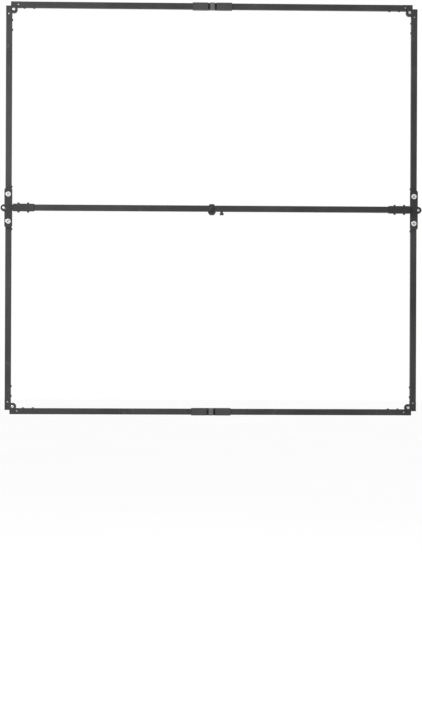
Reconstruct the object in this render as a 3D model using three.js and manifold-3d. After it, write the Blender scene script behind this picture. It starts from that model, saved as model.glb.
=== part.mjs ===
// Collapsible square lighting frame with a removable crossbar that sits on a light stand.
// Millimetres, +Z up, +X to the right, the front of the frame faces -Y.
// The origin is the centre of the bottom face of the stand boss under the crossbar.
// The frame hangs behind the crossbar, so that nothing of the crossbar is in the way of its folds.

import * as THREE from 'three';
import { mergeVertices } from 'three/addons/utils/BufferGeometryUtils.js';
import Module from 'manifold-3d';

const wasm = await Module();
wasm.setup();

// Driving dimensions
const OUTER = 1219.2;          // outside width and height of the frame
const TUBE = 18;               // outside of the square tube
const WALL = 1.5;              // tube wall
const TUBE_CORNER = 1.6;       // outside corner radius of the tube
const GAP = 0.3;               // air between two pieces that touch on the real frame
const FITTING_LENGTH = 25;     // bare part of a corner fitting, from the inner corner
const PLUG_LENGTH = 50;        // part of a fitting that is pushed into its tube
const PIVOT_OFFSET = 5;        // corner pivot, inwards from the tubes' inner faces
const CORNER_KNUCKLE = 10.7;   // radius of a corner knuckle
const CORNER_PIN = 3;          // radius of a corner pin
const CORNER_HEAD = 4.1;       // radius of its heads
const EAR_OFFSET = 4.2;        // side hinge pivot, outwards from the tubes' outer faces
const EAR_KNUCKLE = 10.3;      // radius of a side hinge knuckle
const EAR_PIN = 2.5;           // radius of a side hinge pin
const EAR_HEAD = 4.2;          // radius of its heads
const EAR_NOTCH = 5.2;         // radius of the notch that leaves a head free in a bracket's plate
const TONGUE = 2.9;            // half thickness of the middle knuckle
const FORK = 3.2;              // half width of the slot between the two outer knuckles
const HINGE_BODY = 52;         // bare part of a side hinge body, from the middle level
const SLEEVE = 22;             // outside of the square sleeves over the tubes
const SLEEVE_END = 58;         // far end of a centre sleeve, from the middle of the rail
const SLEEVE_START = 12.9;     // near end of a centre sleeve
const BOOK_PIN_X = 9.65;       // the two upright pins of a centre hinge, left and right of the middle
const BOOK_PIN_Y = 2.5;        // the same pins, behind the middle of the tube
const BOOK_PIN = 2.4;          // radius of those pins
const BOOK_KNUCKLE = 5.6;      // radius of the knuckles around them
const LINK_HALF = 6.5;         // half width of the block between the two pins
const LINK_EAR = 5.5;          // the link's ears lie below this depth under the rail's middle
const PLATE_HEIGHT = 117;      // upright plate of a crossbar bracket
const PLATE_WIDTH = 23.2;
const PLATE_THICK = 3.3;
const PLATE_CHAMFER = 4;
const SOCKET_LENGTH = 62;      // socket of a bracket around the crossbar
const BUTTON_SPACING = 40;     // release buttons, above and below the crossbar
const CROSSBAR_Z = 19;         // height of the crossbar above the boss's bottom face
const JOINER_HALF = 33;        // half length of the bar that joins the two crossbar tubes
const SADDLE_HALF = 11;        // half length of the saddle under the crossbar
const SADDLE_THICK = 2.6;      // its thickness, and the lock bush's
const STUD = 3;                // radius of the boss's stud, up through the crossbar
const CAP_SHANK = 2.5;         // radius of the front cap screw's shank
const KNOB_SHANK = 2;          // radius of the lock knob's screw
const PAD = 8.5;               // radius of the seats for a bracket's plate on the side hinge bodies
const COLLAR_HOLE = 5;         // radius of the holes for the button collars in that plate
const SLEEVE_HOLE = 2.5;       // radius of the screw holes in the backs of the centre sleeves
const SCREW_HOLE = 2.2;        // radius of the other screw holes
const RIVET_HOLE = 1.7;
const THROUGH = 20;            // reach of a tool that cuts right through a tube
const KNOB_X = 29;             // lock knob, to the right of the middle

// Derived places
const HALF = OUTER / 2;
const MID = HALF - TUBE / 2;
const INNER = HALF - TUBE;
const PIVOT = INNER - PIVOT_OFFSET;
const EAR_X = HALF + EAR_OFFSET;
const R = TUBE / 2;
const BORE = TUBE - 2 * WALL;
const PLUG = BORE / 2 - GAP;
const SLEEVE_HALF = SLEEVE / 2;
const BRACE_BACK = SLEEVE_HALF;
const FRAME_Y = BRACE_BACK + GAP + SLEEVE_HALF;
const FITTING_END = INNER - FITTING_LENGTH;
const PLUG_END = FITTING_END - PLUG_LENGTH;
const ARM_SCREWS = [INNER - 36, INNER - 65];
const RIVET = PIVOT - 13.5;
const BODY_SCREW = 62.5;
const SLEEVE_SCREW = 38;
const PLATE_INNER = MID - PLATE_WIDTH / 2;
const SOCKET_END = PLATE_INNER - 3;
const SOCKET_START = SOCKET_END - SOCKET_LENGTH;
const SOCKET_SCREWS = [PLATE_INNER - 18.7, PLATE_INNER - 47];

const finishes = {
  tube: new THREE.MeshStandardMaterial({ color: 0x2b2c2e, roughness: 0.55, metalness: 0.3 }),
  fitting: new THREE.MeshStandardMaterial({ color: 0x222325, roughness: 0.6, metalness: 0.2 }),
  link: new THREE.MeshStandardMaterial({ color: 0x3a3b3d, roughness: 0.6, metalness: 0.2 }),
  screw: new THREE.MeshStandardMaterial({ color: 0x17181a, roughness: 0.45, metalness: 0.6 }),
  steel: new THREE.MeshStandardMaterial({ color: 0xd4d6d8, roughness: 0.25, metalness: 1 }),
  button: new THREE.MeshStandardMaterial({ color: 0x8d9093, roughness: 0.4, metalness: 0.8 }),
  knob: new THREE.MeshStandardMaterial({ color: 0x121213, roughness: 0.7, metalness: 0 }),
};

// Geometry helpers: three.js shapes become solids, solids become geometries again.

function solidOf(geometry) {
  const bare = geometry.index ? geometry.clone() : geometry;
  bare.deleteAttribute('normal');
  bare.deleteAttribute('uv');
  const merged = mergeVertices(bare, 1e-4);
  return new wasm.Manifold(new wasm.Mesh({
    numProp: 3,
    vertProperties: new Float32Array(merged.attributes.position.array),
    triVerts: new Uint32Array(merged.index.array),
  }));
}

function geometryOf(solid) {
  const mesh = solid.getMesh();
  const geometry = new THREE.BufferGeometry();
  geometry.setAttribute('position', new THREE.BufferAttribute(new Float32Array(mesh.vertProperties), 3));
  geometry.setIndex(new THREE.BufferAttribute(new Uint32Array(mesh.triVerts), 1));
  return geometry;
}

function box(x, y, z) {
  const geometry = new THREE.BoxGeometry(x[1] - x[0], y[1] - y[0], z[1] - z[0]);
  geometry.translate((x[0] + x[1]) / 2, (y[0] + y[1]) / 2, (z[0] + z[1]) / 2);
  return solidOf(geometry);
}

// Turns a geometry whose axis is Y so that its axis is the named one, pointing the way of sign.
function turned(geometry, axis, sign = 1) {
  if (axis === 'x') geometry.rotateZ(-sign * Math.PI / 2);
  if (axis === 'z') geometry.rotateX(sign * Math.PI / 2);
  if (axis === 'y' && sign < 0) geometry.rotateX(Math.PI);
  return geometry;
}

function rod(axis, radius, place, from, to, sides = 20) {
  const geometry = turned(new THREE.CylinderGeometry(radius, radius, to - from, sides), axis);
  const middle = (from + to) / 2;
  const centre = {
    x: [middle, place[0], place[1]],
    y: [place[0], middle, place[1]],
    z: [place[0], place[1], middle],
  };
  geometry.translate(...centre[axis]);
  return solidOf(geometry);
}

// A round piece from a profile of [radius, height] points, its base at place, pointing along sign * axis.
function turnedPiece(profile, axis, sign, place, sides = 12) {
  const points = profile.map(([radius, height]) => new THREE.Vector2(radius, height));
  const geometry = turned(new THREE.LatheGeometry(points, sides), axis, sign);
  geometry.translate(...place);
  return solidOf(geometry);
}

function join(...solids) {
  return solids.reduce((sum, solid) => sum.add(solid));
}

function cut(solid, ...tools) {
  return tools.reduce((rest, tool) => rest.subtract(tool), solid);
}

function roundedSquare(half, radius) {
  const shape = new THREE.Shape();
  const turn = Math.PI / 2;
  const corners = [[1, 1], [-1, 1], [-1, -1], [1, -1]];
  corners.forEach(([sx, sy], i) => {
    const centre = [sx * (half - radius), sy * (half - radius)];
    shape.absarc(centre[0], centre[1], radius, i * turn, (i + 1) * turn, false);
  });
  return shape;
}

function squareHole(half) {
  return new THREE.Path([
    new THREE.Vector2(-half, -half),
    new THREE.Vector2(-half, half),
    new THREE.Vector2(half, half),
    new THREE.Vector2(half, -half),
  ]);
}

// A square bar along X, from one place to the other, around the line y, z. With a bore it is a tube.
function squareBar(outside, bore, from, to, y, z) {
  const shape = roundedSquare(outside / 2, TUBE_CORNER);
  if (bore > 0) shape.holes.push(squareHole(bore / 2));
  const settings = { depth: to - from, bevelEnabled: false, curveSegments: 3 };
  const geometry = new THREE.ExtrudeGeometry(shape, settings);
  geometry.rotateY(Math.PI / 2);
  geometry.translate(from, y, z);
  return solidOf(geometry);
}

function mirrored(geometry, sx, sz) {
  const copy = geometry.clone();
  copy.scale(sx, 1, sz);
  if (sx * sz < 0) {
    const order = copy.index.array;
    for (let i = 0; i < order.length; i += 3) {
      [order[i], order[i + 1]] = [order[i + 1], order[i]];
    }
  }
  return copy;
}

// A solid drawn along X turned into the same solid along Z, by swapping X and Z.
function upright(solid) {
  const geometry = geometryOf(solid);
  const place = geometry.attributes.position;
  for (let i = 0; i < place.count; i += 1) {
    place.setXYZ(i, place.getZ(i), place.getY(i), place.getX(i));
  }
  const order = geometry.index.array;
  for (let i = 0; i < order.length; i += 3) {
    [order[i], order[i + 1]] = [order[i + 1], order[i]];
  }
  return solidOf(geometry);
}

// Frame, drawn for the upper right quarter around the middle of the frame: x and z are above 0.

function railFitting() {
  const bare = box([FITTING_END, PIVOT + 8.7], [-R, R], [INNER, HALF]);
  const plug = box([PLUG_END, FITTING_END], [-PLUG, PLUG], [MID - PLUG, MID + PLUG]);
  const body = join(bare, plug, rod('y', CORNER_KNUCKLE, [PIVOT, PIVOT], -R, R));
  const relief = CORNER_KNUCKLE + 2 * GAP;
  return cut(
    body,
    rod('y', relief, [PIVOT, PIVOT], -R - 1, -TONGUE),
    rod('y', relief, [PIVOT, PIVOT], TONGUE, R + 1),
    rod('y', CORNER_PIN + GAP, [PIVOT, PIVOT], -R - 1, R + 1, 8),
    rod('y', RIVET_HOLE, [RIVET, MID], -R - 1, -R + 5, 8),
    ...ARM_SCREWS.map((x) => rod('z', SCREW_HOLE, [x, MID], INNER - 1, INNER + 6, 12)),
  );
}

function sideFitting() {
  const bare = box([INNER, HALF], [-R, R], [FITTING_END, PIVOT + 4.7]);
  const tip = box([PIVOT + 9, HALF], [-R, R], [PIVOT + 4, PIVOT + 10.5]);
  const plug = box([MID - PLUG, MID + PLUG], [-PLUG, PLUG], [PLUG_END, FITTING_END]);
  const body = join(bare, tip, plug, rod('y', CORNER_KNUCKLE, [PIVOT, PIVOT], -R, R));
  return cut(
    body,
    rod('y', CORNER_KNUCKLE + 2 * GAP, [PIVOT, PIVOT], -FORK, FORK),
    rod('y', CORNER_PIN + GAP, [PIVOT, PIVOT], -R - 1, R + 1, 8),
    rod('y', RIVET_HOLE, [MID, RIVET], -R - 1, -R + 5, 8),
    ...ARM_SCREWS.map((z) => rod('x', SCREW_HOLE, [0, z], INNER - 1, INNER + 6, 12)),
  );
}

function armHoles(tube) {
  return cut(tube, ...ARM_SCREWS.map((x) => rod('z', SCREW_HOLE, [x, MID], INNER - 1, INNER + 3, 12)));
}

function railTube() {
  const tube = squareBar(TUBE, BORE, SLEEVE_START + 4.4, FITTING_END - GAP, 0, MID);
  return cut(armHoles(tube), rod('y', SLEEVE_HOLE, [SLEEVE_SCREW, MID], 0, R + 1, 12));
}

function sideTube() {
  const tube = squareBar(TUBE, BORE, HINGE_BODY + GAP, FITTING_END - GAP, 0, MID);
  return upright(cut(armHoles(tube), rod('z', SCREW_HOLE, [BODY_SCREW, 0], INNER - 1, INNER + 3, 12)));
}

function pivotPin(radius, head, x, z) {
  const profile = [
    [0, -R - 1.2], [head * 0.8, -R - 1.2], [head, -R - 0.9], [head, -R - GAP], [radius, -R - GAP],
    [radius, R + GAP], [head, R + GAP], [head, R + 0.9], [head * 0.8, R + 1.2], [0, R + 1.2],
  ];
  return turnedPiece(profile, 'y', 1, [x, 0, z], 14);
}

function hingeBody(tongue) {
  const bare = box([INNER, HALF], [-R, R], [0.2, HINGE_BODY]);
  const plug = box([MID - PLUG, MID + PLUG], [-PLUG, PLUG], [HINGE_BODY, HINGE_BODY + 36]);
  const pad = rod('y', PAD, [MID, BUTTON_SPACING], -SLEEVE_HALF, -R + 1, 20);
  const body = join(bare, plug, pad, rod('y', EAR_KNUCKLE, [EAR_X, 0], -R, R));
  const relief = EAR_KNUCKLE + 2 * GAP;
  const slots = tongue
    ? [rod('y', relief, [EAR_X, 0], -R - 1, -TONGUE), rod('y', relief, [EAR_X, 0], TONGUE, R + 1)]
    : [rod('y', relief, [EAR_X, 0], -FORK, FORK)];
  return cut(
    body,
    ...slots,
    rod('y', EAR_PIN + GAP, [EAR_X, 0], -R - 1, R + 1, 8),
    rod('x', SCREW_HOLE, [0, BODY_SCREW], INNER - 1, INNER + 6, 8),
  );
}

function centreSleeve() {
  const block = squareBar(SLEEVE, 0, SLEEVE_START, SLEEVE_END, 0, MID);
  const bore = TUBE / 2 + GAP;
  const heights = [MID - LINK_EAR + GAP, MID + SLEEVE_HALF - 0.3];
  const knuckle = rod('z', BOOK_KNUCKLE, [BOOK_PIN_X, BOOK_PIN_Y], ...heights);
  return cut(
    join(block, knuckle),
    box([SLEEVE_START + 4.1, SLEEVE_END + 1], [-bore, bore], [MID - bore, MID + bore]),
    rod('z', BOOK_KNUCKLE + GAP, [BOOK_PIN_X, BOOK_PIN_Y], MID - THROUGH, MID - LINK_EAR + GAP),
    rod('z', BOOK_PIN + GAP, [BOOK_PIN_X, BOOK_PIN_Y], MID - THROUGH, MID + THROUGH, 16),
    rod('y', SLEEVE_HOLE, [SLEEVE_SCREW, MID], R - 1, SLEEVE_HALF + 1, 8),
  );
}

function centreLink() {
  const pins = [-BOOK_PIN_X, BOOK_PIN_X];
  const floor = MID - LINK_EAR;
  const block = box([-LINK_HALF, LINK_HALF], [-SLEEVE_HALF, 5], [MID - SLEEVE_HALF, MID + SLEEVE_HALF]);
  const relieved = cut(
    block,
    ...pins.map((x) => rod('z', BOOK_KNUCKLE + GAP, [x, BOOK_PIN_Y], floor, MID + THROUGH)),
  );
  const ears = pins.map((x) => rod('z', BOOK_KNUCKLE, [x, BOOK_PIN_Y], MID - SLEEVE_HALF, floor));
  const reach = [MID - THROUGH, MID + THROUGH];
  const holes = pins.map((x) => rod('z', BOOK_PIN + GAP, [x, BOOK_PIN_Y], ...reach, 16));
  return cut(join(relieved, ...ears), ...holes);
}

function bookPin() {
  const ends = [MID - SLEEVE_HALF + 0.2, MID + SLEEVE_HALF - 0.5];
  return rod('z', BOOK_PIN, [BOOK_PIN_X, BOOK_PIN_Y], ...ends, 16);
}

// Crossbar, drawn for its right half, around its own axis.

function crossbarTube() {
  const tube = squareBar(TUBE, BORE, GAP, SOCKET_END - 3 - GAP, 0, 0);
  return cut(
    tube,
    rod('z', STUD + GAP, [0, 0], -THROUGH, THROUGH, 16),
    rod('y', CAP_SHANK + GAP, [0, 0], -THROUGH, 0, 16),
    ...SOCKET_SCREWS.map((x) => rod('z', SCREW_HOLE, [x, 0], -THROUGH, THROUGH, 12)),
  );
}

function teePlate() {
  const [x0, x1] = [PLATE_INNER, PLATE_INNER + PLATE_WIDTH];
  const top = PLATE_HEIGHT / 2;
  const c = PLATE_CHAMFER;
  const outline = [
    [x0 + c, -top], [x1 - c, -top], [x1, -top + c], [x1, top - c],
    [x1 - c, top], [x0 + c, top], [x0, top - c], [x0, -top + c],
  ];
  const shape = new THREE.Shape(outline.map(([x, z]) => new THREE.Vector2(x, z)));
  const geometry = new THREE.ExtrudeGeometry(shape, { depth: PLATE_THICK, bevelEnabled: false });
  geometry.rotateX(Math.PI / 2);
  geometry.translate(0, BRACE_BACK, 0);
  return solidOf(geometry);
}

function teeBracket() {
  const stem = box([SOCKET_END - 1, PLATE_INNER + 1], [3, BRACE_BACK], [-9, 9]);
  const socket = squareBar(SLEEVE, 0, SOCKET_START, SOCKET_END, 0, 0);
  const bore = TUBE / 2 + GAP;
  return cut(
    join(teePlate(), stem, socket),
    box([SOCKET_START - 1, SOCKET_END - 3], [-bore, bore], [-bore, bore]),
    ...SOCKET_SCREWS.map((x) => rod('z', SCREW_HOLE, [x, 0], -THROUGH, THROUGH, 12)),
    ...[-1, 1].map((s) => rod('y', COLLAR_HOLE, [MID, s * BUTTON_SPACING], 0, THROUGH)),
    rod('y', EAR_NOTCH, [EAR_X, 0], 0, THROUGH, 32),
  );
}

function buttonCollar() {
  const front = BRACE_BACK - PLATE_THICK;
  const profile = [
    [3.3, front - 1.9], [7.2, front - 1.9], [7.7, front - 1.4], [7.7, front - GAP],
    [4.7, front - GAP], [4.7, BRACE_BACK - 0.2], [3.3, BRACE_BACK - 0.2], [3.3, front - 1.9],
  ];
  return turnedPiece(profile, 'y', 1, [MID, 0, BUTTON_SPACING], 18);
}

function releaseButton() {
  const front = BRACE_BACK - PLATE_THICK;
  const profile = [[0, front - 3.1], [2.2, front - 3.0], [3, front - 2.5], [3, front + 1], [0, front + 1]];
  return turnedPiece(profile, 'y', 1, [MID, 0, BUTTON_SPACING], 12);
}

function joiningBar() {
  return cut(
    box([-JOINER_HALF, JOINER_HALF], [-PLUG, PLUG], [-PLUG, PLUG]),
    rod('z', STUD + GAP, [0, 0], -THROUGH, THROUGH, 16),
    rod('y', CAP_SHANK + GAP, [0, 0], -THROUGH, 0, 16),
  );
}

function mountSaddle() {
  const plate = box([-SADDLE_HALF, SADDLE_HALF], [-R, R], [-R - GAP - SADDLE_THICK, -R - GAP]);
  return cut(plate, rod('z', STUD + GAP, [0, 0], -THROUGH, 0, 16));
}

function mountBoss() {
  const top = -R - 2 * GAP - SADDLE_THICK;
  const profile = [
    [0, -CROSSBAR_Z], [6.5, -CROSSBAR_Z], [7.4, -CROSSBAR_Z + 1], [8.2, -CROSSBAR_Z + 3.2],
    [11.3, top - 1.2], [11.3, top], [STUD, top], [STUD, R + 3.4], [0, R + 3.4],
  ];
  const boss = turnedPiece(profile, 'z', 1, [0, 0, 0], 24);
  return cut(boss, rod('z', 4.76, [0, 0], -CROSSBAR_Z - 1, -CROSSBAR_Z + 5.5, 20));
}

function domeNut() {
  const base = R + GAP;
  const profile = [
    [3.3, base], [8.75, base], [8.75, base + 1.2], [7.6, base + 3.0], [5, base + 4.2],
    [0, base + 4.7], [0, base + 3.6], [3.3, base + 3.6], [3.3, base],
  ];
  return turnedPiece(profile, 'z', 1, [0, 0, 0], 24);
}

function frontCap() {
  const low = 4.6 - R;
  const profile = [
    [0, low], [CAP_SHANK, low], [CAP_SHANK, GAP], [6.5, GAP], [6.2, 1.8], [4, 3.1], [0, 3.6],
  ];
  return turnedPiece(profile, 'y', -1, [0, -R, 0], 20);
}

function lockBush() {
  const [low, high] = [-R - GAP - SADDLE_THICK, -R - GAP];
  const hole = KNOB_SHANK + GAP;
  const profile = [[hole, low], [3.8, low], [3.8, high], [hole, high], [hole, low]];
  return turnedPiece(profile, 'z', 1, [KNOB_X, 0, 0], 20);
}

function lockKnob() {
  const low = -R - 10.2;
  const profile = [
    [0, low], [4.8, low], [5.9, low + 0.9], [5.9, low + 5.5], [4.8, low + 6.4],
    [3.4, low + 6.4], [3.4, low + 7], [KNOB_SHANK, low + 7], [KNOB_SHANK, -R - GAP], [0, -R - GAP],
  ];
  return turnedPiece(profile, 'z', 1, [KNOB_X, 0, 0], 16);
}

// Assembly

const part = new THREE.Group();
const frame = new THREE.Group();
frame.position.set(0, FRAME_Y, CROSSBAR_Z);
const brace = new THREE.Group();
brace.position.set(0, 0, CROSSBAR_Z);
part.add(frame, brace);

function place(group, name, solid, finish, sx = 1, sz = 1) {
  const geometry = mirrored(geometryOf(solid), sx, sz);
  const mesh = new THREE.Mesh(geometry, finishes[finish]);
  mesh.name = name;
  group.add(mesh);
}

const SIDES = { left: -1, right: 1 };
const LEVELS = { top: 1, bottom: -1 };

for (const [level, sz] of Object.entries(LEVELS)) {
  const half = level === 'top' ? 'upper' : 'lower';
  for (const [side, sx] of Object.entries(SIDES)) {
    place(frame, `${level}_${side}_rail_tube`, railTube(), 'tube', sx, sz);
    place(frame, `${level}_${side}_centre_sleeve`, centreSleeve(), 'fitting', sx, sz);
    place(frame, `${level}_${side}_rail_corner_fitting`, railFitting(), 'fitting', sx, sz);
    place(frame, `${level}_${side}_centre_hinge_pin`, bookPin(), 'steel', sx, sz);
    place(frame, `${level}_${side}_corner_pin`, pivotPin(CORNER_PIN, CORNER_HEAD, PIVOT, PIVOT), 'steel', sx, sz);
    place(frame, `${half}_${side}_side_tube`, sideTube(), 'tube', sx, sz);
    place(frame, `${half}_${side}_side_corner_fitting`, sideFitting(), 'fitting', sx, sz);
    place(frame, `${half}_${side}_side_hinge_body`, hingeBody(level === 'top'), 'fitting', sx, sz);
    place(brace, `${half}_${side}_release_button`, releaseButton(), 'button', sx, sz);
    place(brace, `${half}_${side}_button_collar`, buttonCollar(), 'steel', sx, sz);
  }
  place(frame, `${level}_centre_link`, centreLink(), 'link', 1, sz);
}

for (const [side, sx] of Object.entries(SIDES)) {
  place(frame, `${side}_side_hinge_pin`, pivotPin(EAR_PIN, EAR_HEAD, EAR_X, 0), 'steel', sx);
  place(brace, `${side}_crossbar_tube`, crossbarTube(), 'tube', sx);
  place(brace, `${side}_tee_bracket`, teeBracket(), 'fitting', sx);
}

place(brace, 'crossbar_joining_bar', joiningBar(), 'fitting');
place(brace, 'mount_saddle', mountSaddle(), 'fitting');
place(brace, 'mount_boss', mountBoss(), 'fitting');
place(brace, 'lock_bush', lockBush(), 'fitting');
place(brace, 'dome_nut', domeNut(), 'screw');
place(brace, 'front_cap_screw', frontCap(), 'screw');
place(brace, 'lock_knob', lockKnob(), 'knob');

export default part;
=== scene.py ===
import math

import bmesh
import bpy
from mathutils import Matrix, Vector


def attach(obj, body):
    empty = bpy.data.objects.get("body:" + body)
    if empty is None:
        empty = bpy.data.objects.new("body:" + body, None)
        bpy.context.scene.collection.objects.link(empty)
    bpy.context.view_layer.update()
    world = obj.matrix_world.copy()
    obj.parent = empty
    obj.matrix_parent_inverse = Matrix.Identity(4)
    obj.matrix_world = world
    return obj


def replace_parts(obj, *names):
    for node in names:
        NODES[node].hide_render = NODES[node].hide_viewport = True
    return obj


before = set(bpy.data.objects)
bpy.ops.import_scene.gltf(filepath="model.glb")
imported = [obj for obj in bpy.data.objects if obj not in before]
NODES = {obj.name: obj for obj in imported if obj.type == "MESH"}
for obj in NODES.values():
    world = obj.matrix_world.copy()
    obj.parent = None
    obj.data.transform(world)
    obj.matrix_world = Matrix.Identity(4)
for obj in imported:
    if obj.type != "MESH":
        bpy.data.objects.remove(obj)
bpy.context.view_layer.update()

# Sizes and places in mm, as in the CAD part.
HALF = 609.6            # half of the frame's outside width and height
TUBE_R = 9.0            # half of the tube's width
SLEEVE_R = 11.0         # half of the width of the square sleeves and sockets
MID = HALF - TUBE_R     # axes of the frame's tubes
INNER = MID - TUBE_R    # inner faces of the frame's tubes
PIVOT = INNER - 5.0     # corner pivots
EAR = HALF + 4.2        # side hinge pivots
FRAME_Y = 22.3          # depth of the frame's axes behind the crossbar's
CROSSBAR_Z = 19.0       # height of the crossbar's axis
GAP = 0.3               # air between a head and the face that it stands on
CORNER_PIN, CORNER_HEAD = 3.0, 4.1      # radii of a corner pin and its heads
EAR_PIN, EAR_HEAD = 2.5, 4.2            # radii of a side hinge pin and its heads
ARM_SCREWS = (555.6, 526.6)     # along each rail and side, from the middle
BODY_SCREW = 62.5               # along each side, in the side hinge body
RIVET = 573.1                   # along each rail and side
SLEEVE_SCREW = 38.0             # along each rail
SOCKET_SCREWS = (570.3, 542.0)  # along the crossbar
PLATE_FRONT = SLEEVE_R - 3.3    # front faces of the brackets' plates, behind the crossbar's axis
BUTTON_UP = 40.0        # release buttons, above and below the crossbar
KNOB_X = 29.0           # lock knob, right of the middle
MM = 0.001              # a millimetre in the scene's metres
SIDES = {"left": -1, "right": 1}
BRACES = {"left": "brace", "right": "right_brace"}
LEVELS = {"top": 1, "bottom": -1}
HALVES = {"top": "upper", "bottom": "lower"}


# ---------------------------------------------------------------- materials
class Tree:
    """A short way to write a node material."""

    def __init__(self, name):
        self.material = bpy.data.materials.new(name)
        self.material.use_nodes = True
        self.tree = self.material.node_tree
        self.shader = self.tree.nodes["Principled BSDF"]
        self.where = self.add("TexCoord").outputs["Object"]

    def add(self, kind, **inputs):
        node = self.tree.nodes.new("ShaderNode" + kind)
        for key, value in inputs.items():
            self.put(node.inputs[key.replace("_", " ")], value)
        return node

    def put(self, socket, value):
        if isinstance(value, bpy.types.NodeSocket):
            self.tree.links.new(value, socket)
        else:
            socket.default_value = value

    def noise(self, scale, detail=3.0, stretch=None, rough=0.55):
        where = self.where
        if stretch:
            where = self.add("Mapping", Vector=where, Scale=stretch).outputs[0]
        noise = self.add("TexNoise", Vector=where, Scale=scale, Detail=detail, Roughness=rough)
        return noise.outputs["Fac"]

    def ramp(self, value, *stops):
        node = self.add("ValToRGB", Fac=value)
        while len(node.color_ramp.elements) < len(stops):
            node.color_ramp.elements.new(0.5)
        for element, (place, shade) in zip(node.color_ramp.elements, stops):
            element.position = place
            element.color = (*shade, 1) if isinstance(shade, tuple) else (shade, shade, shade, 1)
        return node.outputs["Color"]

    def span(self, value, a, b, low, high):
        node = self.add("MapRange", Value=value, From_Min=a, From_Max=b, To_Min=low, To_Max=high)
        node.clamp = True
        return node.outputs[0]

    def times(self, a, b):
        node = self.tree.nodes.new("ShaderNodeMath")
        node.operation = "MULTIPLY"
        self.put(node.inputs[0], a)
        self.put(node.inputs[1], b)
        return node.outputs[0]

    def blend(self, amount, a, b):
        node = self.tree.nodes.new("ShaderNodeMix")
        node.data_type = "RGBA"
        self.put(node.inputs[0], amount)
        self.put(node.inputs[6], a)
        self.put(node.inputs[7], b)
        return node.outputs[2]

    def edges(self, radius):
        """0 on flat faces, towards 1 on outer and inner edges, with the softened normal."""
        bevel = self.tree.nodes.new("ShaderNodeBevel")
        bevel.samples = 6
        bevel.inputs["Radius"].default_value = radius
        flat = self.tree.nodes.new("ShaderNodeNewGeometry").outputs["True Normal"]
        dot = self.tree.nodes.new("ShaderNodeVectorMath")
        dot.operation = "DOT_PRODUCT"
        self.put(dot.inputs[0], bevel.outputs[0])
        self.put(dot.inputs[1], flat)
        flat_cosine, edge_cosine = 0.995, 0.82
        return self.span(dot.outputs["Value"], flat_cosine, edge_cosine, 0.0, 1.0), bevel.outputs[0]

    def bump(self, height, strength, distance, normal=None):
        node = self.add("Bump", Strength=strength, Distance=distance, Height=height)
        if normal is not None:
            self.put(node.inputs["Normal"], normal)
        return node.outputs[0]

    def finish(self, **sockets):
        for key, value in sockets.items():
            self.put(self.shader.inputs[key.replace("_", " ")], value)
        return self.material


def coat(name, dark, light, rough, specular, worn, wear):
    """Satin black coating over metal: cloudy tone, fine grain, scuffs, lighter worn edges."""
    t = Tree(name)
    edge, soft = t.edges(0.0007)
    cloud = t.ramp(t.noise(9.0, 4.0), (0.32, dark), (0.68, light))
    scuff = t.span(t.noise(55.0, 6.0, (1.0, 1.0, 0.6), 0.7), 0.58, 0.76, 0.0, 0.45)
    tone = t.blend(scuff, cloud, (worn * 0.75, worn * 0.75, worn * 0.76, 1))
    chips = t.times(edge, t.span(t.noise(230.0, 4.0), 0.38, 0.66, 0.15, wear))
    colour = t.blend(chips, tone, (worn, worn, worn * 1.02, 1))
    grain = t.noise(1500.0, 2.0)
    gloss = t.span(t.noise(38.0, 5.0), 0.3, 0.7, rough - 0.06, rough + 0.09)
    t.put(t.shader.inputs["Specular IOR Level"], specular)
    return t.finish(Base_Color=colour, Roughness=gloss, Normal=t.bump(grain, 0.22, 0.00012, soft))


def metal(name, dark, light, rough, line):
    """Bare metal with fine tooling lines, spots of tarnish and brighter edges."""
    t = Tree(name)
    edge, soft = t.edges(0.0004)
    cloud = t.ramp(t.noise(120.0, 4.0), (0.3, dark), (0.7, light))
    brighter = tuple(min(1.0, v * 1.18) for v in light)
    rub = t.times(edge, t.span(t.noise(400.0), 0.35, 0.6, 0.2, 0.9))
    colour = t.blend(rub, cloud, (*brighter, 1))
    lines = t.noise(260.0, 3.0, line, 0.6)
    gloss = t.span(t.noise(300.0, 4.0), 0.3, 0.7, rough - 0.05, rough + 0.1)
    t.put(t.shader.inputs["Metallic"], 1.0)
    return t.finish(Base_Color=colour, Roughness=gloss, Normal=t.bump(lines, 0.18, 0.00008, soft))


def plastic(name, dark, light, rough):
    """Moulded black plastic: fine pebble grain, dusty low spots, rubbed edges."""
    t = Tree(name)
    edge, soft = t.edges(0.0005)
    cloud = t.ramp(t.noise(90.0, 4.0), (0.3, dark), (0.7, light))
    rub = t.times(edge, t.span(t.noise(500.0), 0.4, 0.65, 0.1, 0.6))
    colour = t.blend(rub, cloud, (light[0] * 2.2, light[1] * 2.2, light[2] * 2.2, 1))
    gloss = t.span(t.noise(200.0, 3.0), 0.3, 0.7, rough - 0.05, rough + 0.08)
    grain = t.noise(2200.0, 2.0)
    return t.finish(Base_Color=colour, Roughness=gloss, Normal=t.bump(grain, 0.3, 0.0001, soft))


def grey(value):
    return (value,) * 3


LOOKS = {
    "tube_metal": coat("tube_coat", grey(0.019), grey(0.030),
                       rough=0.46, specular=0.22, worn=0.100, wear=0.8),
    "fitting_metal": coat("fitting_coat", grey(0.018), grey(0.027),
                          rough=0.52, specular=0.20, worn=0.095, wear=0.85),
    # The centre link's coat is lighter than the other coats: partly its own finish, partly painted highlight
    # on the link's front.
    "link_metal": coat("link_coat_painted_highlight", grey(0.055), grey(0.080),
                       rough=0.40, specular=0.35, worn=0.15, wear=0.85),
    "bright_steel": metal("bright_steel", (0.66, 0.66, 0.67), (0.80, 0.80, 0.80),
                          rough=0.24, line=(1, 6, 1)),
    "grey_button": metal("grey_button", (0.22, 0.22, 0.225), (0.32, 0.32, 0.32),
                         rough=0.36, line=(6, 1, 1)),
    "black_knob": plastic("black_knob", grey(0.012), grey(0.020), rough=0.55),
}
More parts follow.
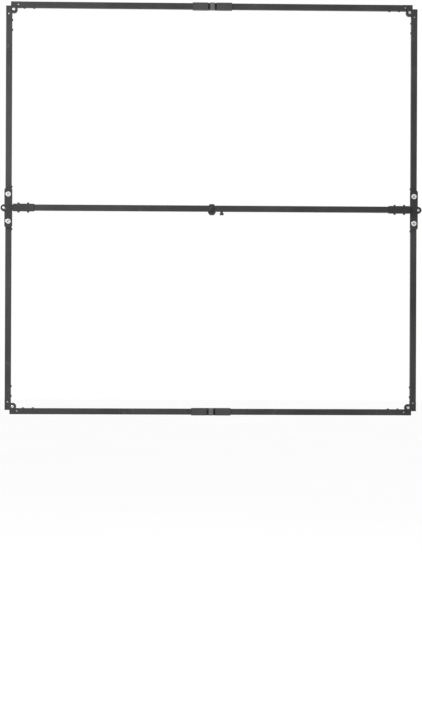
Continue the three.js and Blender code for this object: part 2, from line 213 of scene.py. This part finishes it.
# Looks of single pieces, used instead of the looks above.
SCREW_LOOK = coat("black_screw", grey(0.012), grey(0.020),
                  rough=0.36, specular=0.30, worn=0.09, wear=0.85)
SLEEVE_LOOK = coat("sleeve_coat", grey(0.028), grey(0.040),
                   rough=0.48, specular=0.22, worn=0.095, wear=0.85)
PIN_LOOK = metal("pin_steel", (0.40, 0.40, 0.41), (0.56, 0.56, 0.56), rough=0.26, line=(1, 6, 1))
RIVET_LOOK = metal("rivet_steel", (0.20, 0.20, 0.205), (0.34, 0.34, 0.34), rough=0.34, line=(1, 6, 1))


def slot_of(name):
    words = name.split("_")
    if "collar" in words or "pin" in words:
        return "bright_steel"
    if name.endswith("release_button"):
        return "grey_button"
    if name == "lock_knob":
        return "black_knob"
    if name.endswith("centre_link"):
        return "link_metal"
    return "tube_metal" if "tube" in words else "fitting_metal"


for name, node in NODES.items():
    for material_slot in node.material_slots:
        material_slot.material = SLEEVE_LOOK if name.endswith("sleeve") else LOOKS[slot_of(name)]


# ---------------------------------------------------------------- turned pieces
HEX = math.pi / 3           # a sixth of a turn
SHARP = math.radians(32)    # an edge that turns more than this is drawn as an edge


def hexagon(across):
    """Radius of a hexagon at an angle, for sockets with that width across flats."""
    return lambda angle: across / 2 / math.cos((angle + HEX / 2) % HEX - HEX / 2)


def knurl(radius, depth=0.32, ridges=24):
    """Radius of a ribbed grip at an angle."""
    return lambda angle: radius - depth * (0.5 - 0.5 * math.cos(angle * ridges)) ** 1.5


def lathe(bm, profile, place, direction, sides=32):
    """Turns (radius, height) points around a direction. A radius may be a function of the angle."""
    n = Vector(direction).normalized()
    u = n.orthogonal().normalized()
    v = n.cross(u)
    base = Vector(place)
    rings = []
    for radius, height in profile:
        if radius == 0:
            rings.append([bm.verts.new((base + n * height) * MM)])
            continue
        ring = []
        for i in range(sides):
            a = 2 * math.pi * i / sides
            r = radius(a) if callable(radius) else radius
            out = u * math.cos(a) + v * math.sin(a)
            ring.append(bm.verts.new((base + n * height + out * r) * MM))
        rings.append(ring)
    for low, high in zip(rings, rings[1:]):
        for i in range(sides):
            j = (i + 1) % sides
            corners = [low[i % len(low)], low[j % len(low)], high[j % len(high)], high[i % len(high)]]
            corners = list(dict.fromkeys(corners))
            if len(corners) > 2:
                bm.faces.new(corners)


def piece(name, body, slot, makers, material=None):
    """One object from several turned shapes, riding one body."""
    bm = bmesh.new()
    for make in makers:
        make(bm)
    bmesh.ops.recalc_face_normals(bm, faces=bm.faces[:])
    for face in bm.faces:
        face.smooth = True
    for edge in bm.edges:
        edge.smooth = len(edge.link_faces) == 2 and edge.calc_face_angle(0) < SHARP
    mesh = bpy.data.meshes.new(name)
    bm.to_mesh(mesh)
    bm.free()
    obj = bpy.data.objects.new(name, mesh)
    bpy.context.scene.collection.objects.link(obj)
    mesh.materials.append(material or LOOKS[slot])
    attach(obj, body)
    return obj


def on_frame(x, y, z):
    """A place measured from the middle of the frame."""
    return (x, FRAME_Y + y, CROSSBAR_Z + z)


def turned(profile, place, direction, sides):
    """A maker for piece(): one turned shape."""
    return lambda bm: lathe(bm, profile, place, direction, sides)


def button_head(place, direction):
    """Button-head screw with a hexagon socket."""
    socket = hexagon(2.5)
    profile = [
        (0, -0.8), (2.0, -0.8), (2.0, 0.02), (3.7, 0.02), (3.75, 0.35), (3.6, 1.0), (3.2, 1.6), (2.6, 2.1),
        (1.95, 2.4), (1.62, 2.48), (socket, 2.35), (socket, 1.1), (0, 0.7),
    ]
    return turned(profile, place, direction, 24)


def cap_head(place, direction):
    """Cylindrical cap screw with a knurled side and a hexagon socket."""
    socket = hexagon(2.5)
    side = knurl(3.3, 0.16, 18)
    profile = [
        (0, -0.8), (2.0, -0.8), (2.0, 0.02), (3.15, 0.02), (side, 0.3), (side, 3.3), (3.1, 3.65), (2.7, 3.8),
        (1.75, 3.8), (socket, 3.6), (socket, 1.9), (0, 1.5),
    ]
    return turned(profile, place, direction, 72)


def flat_head(place, direction):
    """Countersunk screw, a little below the face around it."""
    socket = hexagon(2.0)
    profile = [
        (0, -1.6), (2.3, -1.6), (2.38, -0.45), (2.2, -0.28), (1.5, -0.28), (socket, -0.4), (socket, -1.2),
        (0, -1.4),
    ]
    return turned(profile, place, direction, 24)


def rivet(place, direction):
    """Domed rivet with a dimple in the middle."""
    profile = [
        (0, -0.8), (1.55, -0.8), (1.55, 0.02), (2.35, 0.02), (2.4, 0.3), (2.2, 0.75), (1.7, 1.05),
        (1.1, 1.18), (0.75, 1.12), (0.55, 0.8), (0, 0.7),
    ]
    return turned(profile, place, direction, 24)


def pivot_pin(radius, head, x, z):
    """Headed pin through a hinge, with a turned groove and a dimple in each domed head."""
    seat = TUBE_R + GAP
    cap = [
        (head, 0.0), (head, 0.42), (head * 0.93, 0.68), (head * 0.74, 0.86), (head * 0.70, 0.78),
        (head * 0.64, 0.78), (head * 0.60, 0.88), (head * 0.30, 0.9), (head * 0.22, 0.72), (0, 0.62),
    ]
    profile = [(r, -seat - h) for r, h in reversed(cap)] + [(radius, -seat), (radius, seat)]
    profile += [(r, seat + h) for r, h in cap]
    return turned(profile, on_frame(x, 0, z), (0, 1, 0), 40)


def collar(place):
    """Bright ring around a release button, with a rounded rim, sunk into the bracket's plate."""
    rim, bore, shank, inner = 7.7, 3.35, 4.7, 3.3
    face, seat, foot = PLATE_FRONT - 1.9, PLATE_FRONT - GAP, PLATE_FRONT + 3.1
    profile = [
        (bore, face + 0.15), (3.55, face), (6.6, face), (7.25, face + 0.12), (7.62, face + 0.5),
        (rim, face + 0.85), (rim, seat), (shank, seat), (shank, foot), (inner, foot), (inner, face + 0.5),
        (bore, face + 0.15),
    ]
    return turned(profile, place, (0, 1, 0), 48)


def dished_button(place):
    """Release button with a finger dish in its front."""
    edge, back = 3.0, PLATE_FRONT + 1
    dish = [
        (0, 2.35), (0.9, 2.42), (1.6, 2.6), (2.1, 2.85), (2.4, 3.02), (2.65, 3.05), (2.88, 2.9), (edge, 2.5),
    ]
    profile = [(r, PLATE_FRONT - h) for r, h in dish] + [(edge, back), (0, back)]
    return turned(profile, place, (0, 1, 0), 40)


def replacement(cad_name, name, body, slot, maker, material=None):
    """A turned piece that hides the plain CAD node it stands for."""
    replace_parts(piece(name, body, slot, [maker], material), cad_name)


# ---------------------------------------------------------------- rails, sides and release buttons
for level, sz in LEVELS.items():
    half = HALVES[level]
    for side, sx in SIDES.items():
        rail = f"{level}_{side}_rail"
        upright = f"{half}_{side}_side"
        piece(f"{rail}_screws", rail, "fitting_metal",
              [button_head(on_frame(sx * x, 0, sz * INNER), (0, 0, -sz)) for x in ARM_SCREWS], SCREW_LOOK)
        piece(f"{rail}_rivet", rail, "bright_steel",
              [rivet(on_frame(sx * RIVET, -TUBE_R, sz * MID), (0, -1, 0))], RIVET_LOOK)
        piece(f"{level}_{side}_sleeve_screw", rail, "fitting_metal",
              [flat_head(on_frame(sx * SLEEVE_SCREW, SLEEVE_R, sz * MID), (0, 1, 0))], SCREW_LOOK)
        piece(f"{upright}_screws", upright, "fitting_metal",
              [button_head(on_frame(sx * INNER, 0, sz * z), (-sx, 0, 0)) for z in (*ARM_SCREWS, BODY_SCREW)],
              SCREW_LOOK)
        piece(f"{upright}_rivet", upright, "bright_steel",
              [rivet(on_frame(sx * MID, -TUBE_R, sz * RIVET), (0, -1, 0))], RIVET_LOOK)
        replacement(f"{level}_{side}_corner_pin", f"{level}_{side}_corner_pin_turned", rail, "bright_steel",
                    pivot_pin(CORNER_PIN, CORNER_HEAD, sx * PIVOT, sz * PIVOT), PIN_LOOK)
        centre = (sx * MID, 0, CROSSBAR_Z + sz * BUTTON_UP)
        replacement(f"{half}_{side}_button_collar", f"{half}_{side}_collar_turned", BRACES[side],
                    "bright_steel", collar(centre))
        replacement(f"{half}_{side}_release_button", f"{half}_{side}_button_turned",
                    f"{half}_{side}_button", "grey_button", dished_button(centre))

# ---------------------------------------------------------------- side hinges and brackets
for side, sx in SIDES.items():
    replacement(f"{side}_side_hinge_pin", f"{side}_hinge_pin_turned", f"upper_{side}_side", "bright_steel",
                pivot_pin(EAR_PIN, EAR_HEAD, sx * EAR, 0), PIN_LOOK)
    piece(f"{side}_socket_screws", BRACES[side], "fitting_metal",
          [cap_head((sx * x, 0, CROSSBAR_Z + sz * SLEEVE_R), (0, 0, sz))
           for x in SOCKET_SCREWS for sz in (1, -1)],
          SCREW_LOOK)

# ---------------------------------------------------------------- centre mount
SADDLE_THICK = 2.6
FLANGE_TOP = CROSSBAR_Z - TUBE_R - SADDLE_THICK - 2 * GAP   # under the saddle
FLANGE_R = 11.3
STUD_R, STUD_TOP = 3.0, CROSSBAR_Z + 12.4
HOLE_DEPTH = 5.5        # hole for the stand's stud
THREAD_CREST, THREAD_ROOT = 4.76, 4.98
THREAD_START, THREAD_PITCH, THREAD_TURNS = 0.35, 0.62, 7
KNOB_DROP = 10.2        # lower end of the lock knob, below the crossbar's underside


def stand_boss():
    """Tapered boss with a ridged hole in its foot, a flange and a stud on top."""
    thread = [(THREAD_CREST, THREAD_START)]
    for i in range(THREAD_TURNS):
        start = THREAD_START + i * THREAD_PITCH
        thread += [(THREAD_ROOT, start + THREAD_PITCH / 2), (THREAD_CREST, start + THREAD_PITCH)]
    hole = [(0, HOLE_DEPTH), (THREAD_CREST, HOLE_DEPTH)] + thread[::-1]
    foot = [(5.2, 0.0), (6.3, 0.0), (6.55, 0.15), (7.4, 1.0), (8.1, 2.8), (8.3, 3.3)]
    flange = [
        (11.0, FLANGE_TOP - 1.55), (FLANGE_R, FLANGE_TOP - 1.2), (FLANGE_R, FLANGE_TOP - 0.2),
        (11.15, FLANGE_TOP),
    ]
    stud = [(STUD_R, FLANGE_TOP), (STUD_R, STUD_TOP - 0.2), (2.8, STUD_TOP), (0, STUD_TOP)]
    return turned(hole + foot + flange + stud, (0, 0, 0), (0, 0, 1), 64)


def dome_nut():
    """Low domed nut on the crossbar, open below for the stud."""
    bore, rim, ceiling = 3.3, 8.75, 3.6
    profile = [
        (bore, 0), (8.55, 0), (rim, 0.2), (rim, 1.1), (8.5, 1.7), (7.9, 2.6), (7.0, 3.4), (5.6, 4.1),
        (3.6, 4.55), (1.6, 4.68), (0, 4.7), (0, ceiling), (bore, ceiling), (bore, 0),
    ]
    return turned(profile, (0, 0, CROSSBAR_Z + TUBE_R + GAP), (0, 0, 1), 48)


def front_cap_screw():
    """Domed screw in the front of the crossbar, with a large hexagon socket."""
    socket, shank = hexagon(5.0), 2.5
    profile = [
        (0, -4.4), (shank, -4.4), (shank, GAP), (6.35, GAP), (6.5, 0.5), (6.42, 1.2), (6.0, 2.0), (5.2, 2.75),
        (4.2, 3.25), (3.3, 3.5), (3.05, 3.5), (socket, 3.3), (socket, 1.3), (0, 0.6),
    ]
    return turned(profile, (0, -TUBE_R, CROSSBAR_Z), (0, -1, 0), 48)


def lock_knob():
    """Ribbed knob with a shallow dish below, its neck and its screw."""
    edge, ribs = knurl(5.85, 0.2), knurl(5.9)
    neck, shank = 3.4, 2.0
    profile = [
        (0, 0.5), (2.6, 0.5), (3.0, 0.0), (4.8, 0.0), (5.35, 0.25), (edge, 0.75), (ribs, 1.15), (ribs, 5.3),
        (edge, 5.7), (5.35, 6.15), (4.8, 6.4), (neck, 6.4), (neck, 7.0), (shank, 7.0), (shank, 9.9), (0, 9.9),
    ]
    return turned(profile, (KNOB_X, 0, CROSSBAR_Z - TUBE_R - KNOB_DROP), (0, 0, 1), 144)


replacement("mount_boss", "mount_boss_turned", "brace", "fitting_metal", stand_boss())
replacement("dome_nut", "dome_nut_turned", "brace", "fitting_metal", dome_nut())
replacement("front_cap_screw", "front_cap_screw_turned", "brace", "fitting_metal", front_cap_screw(),
            SCREW_LOOK)
replacement("lock_knob", "lock_knob_grip", "lock_knob", "black_knob", lock_knob())

# ---------------------------------------------------------------- studio
# Places and sizes are in metres from here on.
FLOOR_Z, FLOOR_R = -1.42, 45
CAMERA = (-0.25609, -7.0, -0.41047)
YAW, ROLL = 0.03646, 0.00403
SENSOR, LENS = 36, 120.4912     # mm

bm = bmesh.new()
bmesh.ops.create_circle(bm, cap_ends=True, radius=FLOOR_R, segments=96)
mesh = bpy.data.meshes.new("floor")
bm.to_mesh(mesh)
bm.free()
floor = bpy.data.objects.new("floor", mesh)
floor.location = (0, 0, FLOOR_Z)
bpy.context.scene.collection.objects.link(floor)
pale = Tree("pale_floor")
pale.finish(Base_Color=pale.ramp(pale.noise(0.5, 2.0), (0.3, 0.965), (0.7, 0.975)), Roughness=0.95)
# Clear from below, so that a view from a low angle sees the object.
clear = pale.add("BsdfTransparent")
mix = pale.add("MixShader")
pale.put(mix.inputs[0], pale.add("NewGeometry").outputs["Backfacing"])
pale.put(mix.inputs[1], pale.shader.outputs[0])
pale.put(mix.inputs[2], clear.outputs[0])
pale.put(pale.tree.nodes["Material Output"].inputs["Surface"], mix.outputs[0])
mesh.materials.append(pale.material)

world = bpy.data.worlds.new("studio")
bpy.context.scene.world = world
world.use_nodes = True
background = world.node_tree.nodes["Background"]
background.inputs["Color"].default_value = (1, 1, 1, 1)
background.inputs["Strength"].default_value = 1.0
bpy.context.scene.view_settings.view_transform = "Standard"
bpy.context.scene.view_settings.look = "None"


def area(name, place, target, size, power):
    """A rectangular light that points from a place at a target."""
    data = bpy.data.lights.new(name, "AREA")
    data.shape = "RECTANGLE"
    data.size, data.size_y = size
    data.energy = power
    lamp = bpy.data.objects.new(name, data)
    lamp.location = place
    lamp.rotation_euler = (Vector(target) - Vector(place)).to_track_quat("-Z", "Y").to_euler()
    bpy.context.scene.collection.objects.link(lamp)


area("key_light", (-1.75, -1.35, 0.60), (-0.45, 0, 0.1), size=(0.7, 1.4), power=50)
area("top_light", (-0.2, -0.6, 2.3), (0, 0, 0), size=(2.2, 1.2), power=22)
area("back_light", (0.6, 3.0, 2.0), (0, 0, 0), size=(2.0, 1.4), power=30)

# Camera: level, 7 m in front, 0.26 m to the left and 0.43 m below the crossbar. It is turned a little to
# the right and rolled a little.
right = Vector((math.cos(YAW), -math.sin(YAW), 0))
ahead = Vector((math.sin(YAW), math.cos(YAW), 0))
up = Vector((0, 0, 1))
across = right * math.cos(ROLL) + up * math.sin(ROLL)
above = up * math.cos(ROLL) - right * math.sin(ROLL)
camera = bpy.data.objects.new("camera", bpy.data.cameras.new("camera"))
turn = Matrix((across, above, -ahead)).transposed()
camera.matrix_world = Matrix.Translation(CAMERA) @ turn.to_4x4()
camera.data.sensor_width = SENSOR
camera.data.lens = LENS
camera.data.clip_start, camera.data.clip_end = 0.1, 200
bpy.context.scene.collection.objects.link(camera)
bpy.context.scene.camera = camera
